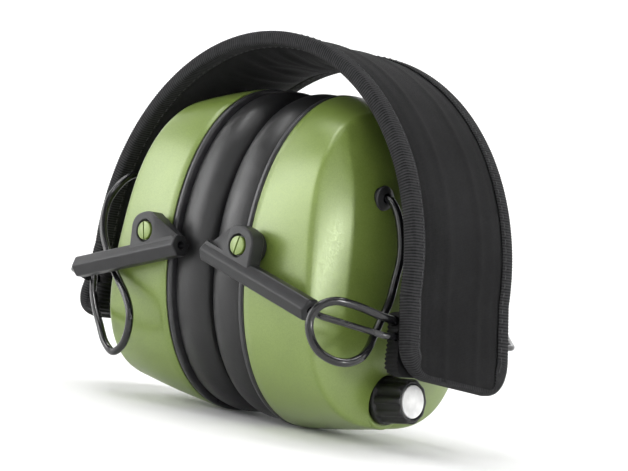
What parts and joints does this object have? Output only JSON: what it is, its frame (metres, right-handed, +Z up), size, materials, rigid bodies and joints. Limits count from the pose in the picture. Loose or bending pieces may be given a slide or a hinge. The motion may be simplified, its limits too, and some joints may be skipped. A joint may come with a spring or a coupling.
{
  "type": "folding earmuff hearing protector",
  "caption": "Electronic earmuff with padded fabric headband, folding wire arms, oval green cups, soft cushions and a volume knob, folded for storage.",
  "frame": {"origin": "on the floor midway between the two cups, under the centre of the folded earmuff", "axes": "+X towards the right cup with the volume knob, -Y towards the side that faces forwards, +Z up to the headband crown"},
  "size_m": [0.1604, 0.1082, 0.1313],
  "materials": {
    "shell_green": "satin metallic moulded green",
    "black_plastic": "satin black moulded",
    "grey_plastic": "dark grey, lightly textured",
    "cushion_vinyl": "soft satin black vinyl",
    "acoustic_foam": "open-cell foam",
    "band_fabric": "matte black laminated fabric",
    "binding_tape": "ribbed woven elastic tape",
    "steel": "bright zinc plated",
    "black_wire": "gloss black",
    "black_rubber": "smooth satin",
    "white_plastic": "smooth white",
    "circuit_board": "solder mask",
    "cell_wrap": "printed-free metal wrap"
  },
  "bodies": {
    "headband": {"headband_cover": "band_fabric", "headband_spring": "steel", "headband_foam_pad": "acoustic_foam", "headband_lining": "band_fabric", "binding_front": "binding_tape", "binding_rear": "binding_tape", "binding_end_right": "binding_tape", "binding_end_left": "binding_tape", "hinge_block_right": "black_plastic", "hinge_block_left": "black_plastic", "cable_right": "black_rubber", "cable_left": "black_rubber"},
    "right_yoke": {"yoke_wire_right": "black_wire"},
    "right_sliders": {"slider_front_right": "grey_plastic", "slider_rear_right": "grey_plastic"},
    "right_cup": {"pivot_pin_front_right": "shell_green", "pivot_clip_front_right": "steel", "pivot_washer_front_right": "black_plastic", "pivot_pin_rear_right": "shell_green", "pivot_clip_rear_right": "steel", "pivot_washer_rear_right": "black_plastic", "cup_shell_right": "shell_green", "base_ring_right": "black_plastic", "ear_cushion_right": "cushion_vinyl", "foam_insert_right": "acoustic_foam", "speaker_right": "black_plastic", "cable_grommet_right": "black_rubber", "microphone_right": "black_plastic", "circuit_board": "circuit_board", "volume_potentiometer": "steel"},
    "left_yoke": {"yoke_wire_left": "black_wire"},
    "left_sliders": {"slider_front_left": "grey_plastic", "slider_rear_left": "grey_plastic"},
    "left_cup": {"pivot_pin_front_left": "shell_green", "pivot_clip_front_left": "steel", "pivot_washer_front_left": "black_plastic", "pivot_pin_rear_left": "shell_green", "pivot_clip_rear_left": "steel", "pivot_washer_rear_left": "black_plastic", "cup_shell_left": "shell_green", "base_ring_left": "black_plastic", "ear_cushion_left": "cushion_vinyl", "foam_insert_left": "acoustic_foam", "speaker_left": "black_plastic", "cable_grommet_left": "black_rubber", "microphone_left": "black_plastic", "battery_holder": "black_plastic", "battery_front": "cell_wrap", "battery_rear": "cell_wrap"},
    "volume_knob": {"volume_shaft": "steel", "volume_knob": "black_plastic", "volume_knob_cap": "white_plastic"},
    "battery_door": {"battery_door": "shell_green"}
  },
  "joints": [
    {"name": "right_fold", "type": "hinge", "parent": "headband", "child": "right_yoke", "pos_m": [0.0713, 0, 0.03733], "axis": [0, -1, 0], "range_deg": [0, 95], "deforming": ["ear_cushion_right", "cable_right"]},
    {"name": "right_slide", "type": "slide", "parent": "right_yoke", "child": "right_sliders", "axis": [-0.965, 0, 0.2622], "range_m": [0, 0.017]},
    {"name": "right_cup_turn", "type": "hinge", "parent": "right_sliders", "child": "right_cup", "pos_m": [0.02221, 0, 0.05803], "axis": [0, -1, 0], "range_deg": [-95, 0]},
    {"name": "left_fold", "type": "hinge", "parent": "headband", "child": "left_yoke", "pos_m": [-0.0713, 0, 0.03733], "axis": [0, 1, 0], "range_deg": [0, 95], "deforming": ["ear_cushion_left", "cable_left"]},
    {"name": "left_slide", "type": "slide", "parent": "left_yoke", "child": "left_sliders", "axis": [0.965, 0, 0.2622], "range_m": [0, 0.017]},
    {"name": "left_cup_turn", "type": "hinge", "parent": "left_sliders", "child": "left_cup", "pos_m": [-0.02221, 0, 0.05803], "axis": [0, 1, 0], "range_deg": [-95, 0]},
    {"name": "volume_turn", "type": "hinge", "parent": "right_cup", "child": "volume_knob", "pos_m": [0.057, -0.002, 0.01563], "axis": [0.9919, 0, 0.1274], "range_deg": [0, 280]},
    {"name": "battery_door_slide", "type": "slide", "parent": "left_cup", "child": "battery_door", "axis": [0, 0, -1], "range_m": [0, 0.012]}
  ],
  "couplings": [
    {"joint": "right_slide", "follows": "right_fold", "m_per_rad": 0.0096498},
    {"joint": "right_cup_turn", "follows": "right_fold", "ratio": -1},
    {"joint": "left_slide", "follows": "left_fold", "m_per_rad": 0.0096498},
    {"joint": "left_cup_turn", "follows": "left_fold", "ratio": -1}
  ]
}
